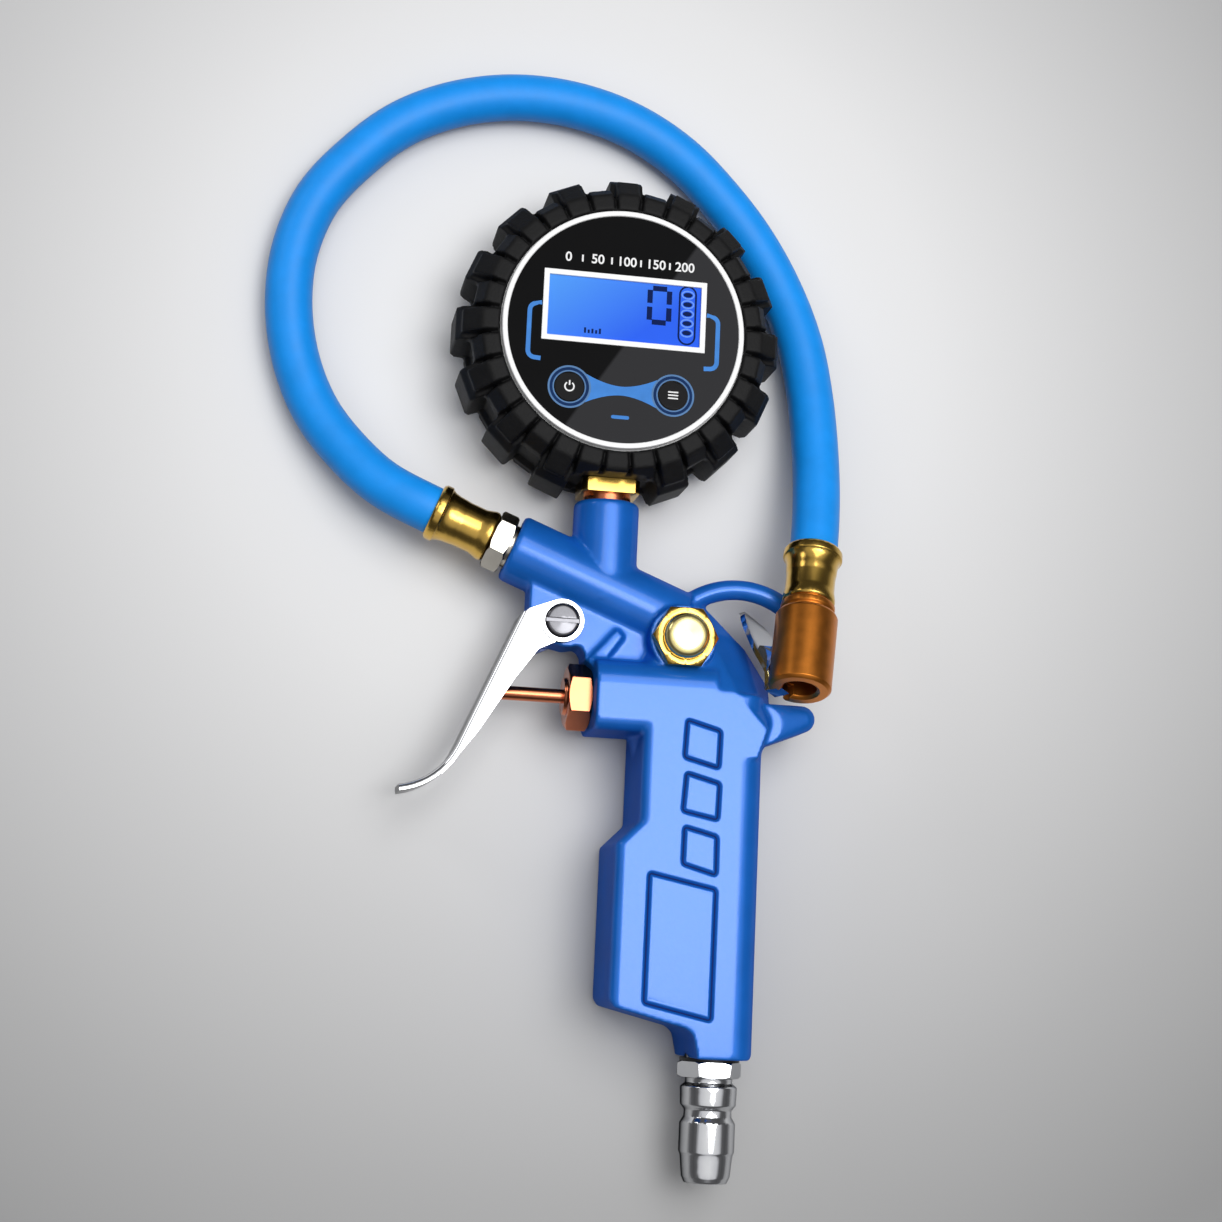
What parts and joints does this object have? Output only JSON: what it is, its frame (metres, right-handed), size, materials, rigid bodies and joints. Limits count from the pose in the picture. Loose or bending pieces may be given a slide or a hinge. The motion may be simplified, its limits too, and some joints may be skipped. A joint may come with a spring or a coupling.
{
  "type": "tyre inflator with gauge",
  "caption": "Hand-held tyre inflator gun with a digital gauge in a tread-pattern rubber boot, a sprung lever, a bleed button, a short hose and a clip-on chuck.",
  "frame": {"origin": "on the surface it lies on, under the middle of the gun without its hose", "axes": "+X to the thumb ledge side, +Y from the inlet plug to the gauge, +Z out of the gauge face"},
  "size_m": [0.1514, 0.2857, 0.0413],
  "materials": {
    "blue_paint": "cobalt blue paint with a soft gloss",
    "chrome": "polished",
    "nickel": "plated, satin",
    "brass": "polished",
    "bronze": "turned, satin",
    "copper": "turned, satin",
    "black_rubber": "matt moulded",
    "seal_rubber": "smooth",
    "hose_blue": "smooth glossy",
    "case_plastic": "fine grain",
    "white_plastic": "glossy",
    "face_black": "high gloss",
    "display_blue": "backlit",
    "board_green": "solder resist",
    "key_black": "satin",
    "cell_wrap": "glossy sleeve",
    "steel": "plain"
  },
  "bodies": {
    "gun": {"body_casting": "blue_paint", "inlet_nipple": "chrome", "inlet_seal": "seal_rubber", "gland_nut": "copper", "gland_seal": "seal_rubber", "valve_seat": "brass", "valve_spring": "steel", "pivot_screw": "chrome", "pivot_nut": "steel", "bleed_nut": "brass", "bleed_spring": "steel", "gauge_stem": "brass", "gauge_stem_seal": "copper", "gauge_case": "case_plastic", "gauge_boot": "black_rubber", "gauge_bezel": "white_plastic", "gauge_faceplate": "face_black", "display_frame": "white_plastic", "display_panel": "display_blue", "circuit_board": "board_green", "pressure_sensor": "steel", "battery_cells": "cell_wrap", "battery_contacts": "steel", "battery_cover": "case_plastic", "battery_cover_screw": "steel", "union_nut": "nickel", "hose_ferrule_gun": "brass", "hose": "hose_blue", "hose_ferrule_chuck": "brass", "chuck_body": "bronze", "chuck_seal": "seal_rubber", "valve_depressor": "brass", "clip_pin": "steel"},
    "lever": {"trigger_lever": "chrome"},
    "stem": {"valve_stem": "copper", "valve_washer": "seal_rubber"},
    "bleed": {"bleed_button": "brass", "bleed_washer": "seal_rubber"},
    "power": {"power_key": "key_black"},
    "mode": {"mode_key": "key_black"},
    "clip": {"clip_lever": "chrome"}
  },
  "joints": [
    {"name": "lever_pull", "type": "hinge", "parent": "gun", "child": "lever", "pos_m": [-0.01553, 0.00995, 0.0155], "axis": [0, 0, 1], "range_deg": [0, 12], "stiffness_Nm_per_rad": 0.6, "springref_deg": -8.59},
    {"name": "stem_slide", "type": "slide", "parent": "gun", "child": "stem", "axis": [1, 0, 0], "range_m": [0, 0.0047], "deforming": ["valve_spring"]},
    {"name": "bleed_press", "type": "slide", "parent": "gun", "child": "bleed", "axis": [0, 0, -1], "range_m": [0, 0.002], "stiffness_N_per_m": 500, "springref_m": -0.004, "deforming": ["bleed_spring"]},
    {"name": "power_press", "type": "slide", "parent": "gun", "child": "power", "axis": [0, 0, -1], "range_m": [0, 0.0004], "stiffness_N_per_m": 60, "springref_m": -0.002},
    {"name": "mode_press", "type": "slide", "parent": "gun", "child": "mode", "axis": [0, 0, -1], "range_m": [0, 0.0004], "stiffness_N_per_m": 60, "springref_m": -0.002},
    {"name": "clip_press", "type": "hinge", "parent": "gun", "child": "clip", "pos_m": [0.04051, 0.00434, 0.02612], "axis": [0.7296, -0.3031, -0.613], "range_deg": [0, 10], "stiffness_Nm_per_rad": 0.05, "springref_deg": -17.19}
  ],
  "couplings": [
    {"joint": "stem_slide", "follows": "lever_pull", "m_per_rad": 0.022}
  ]
}
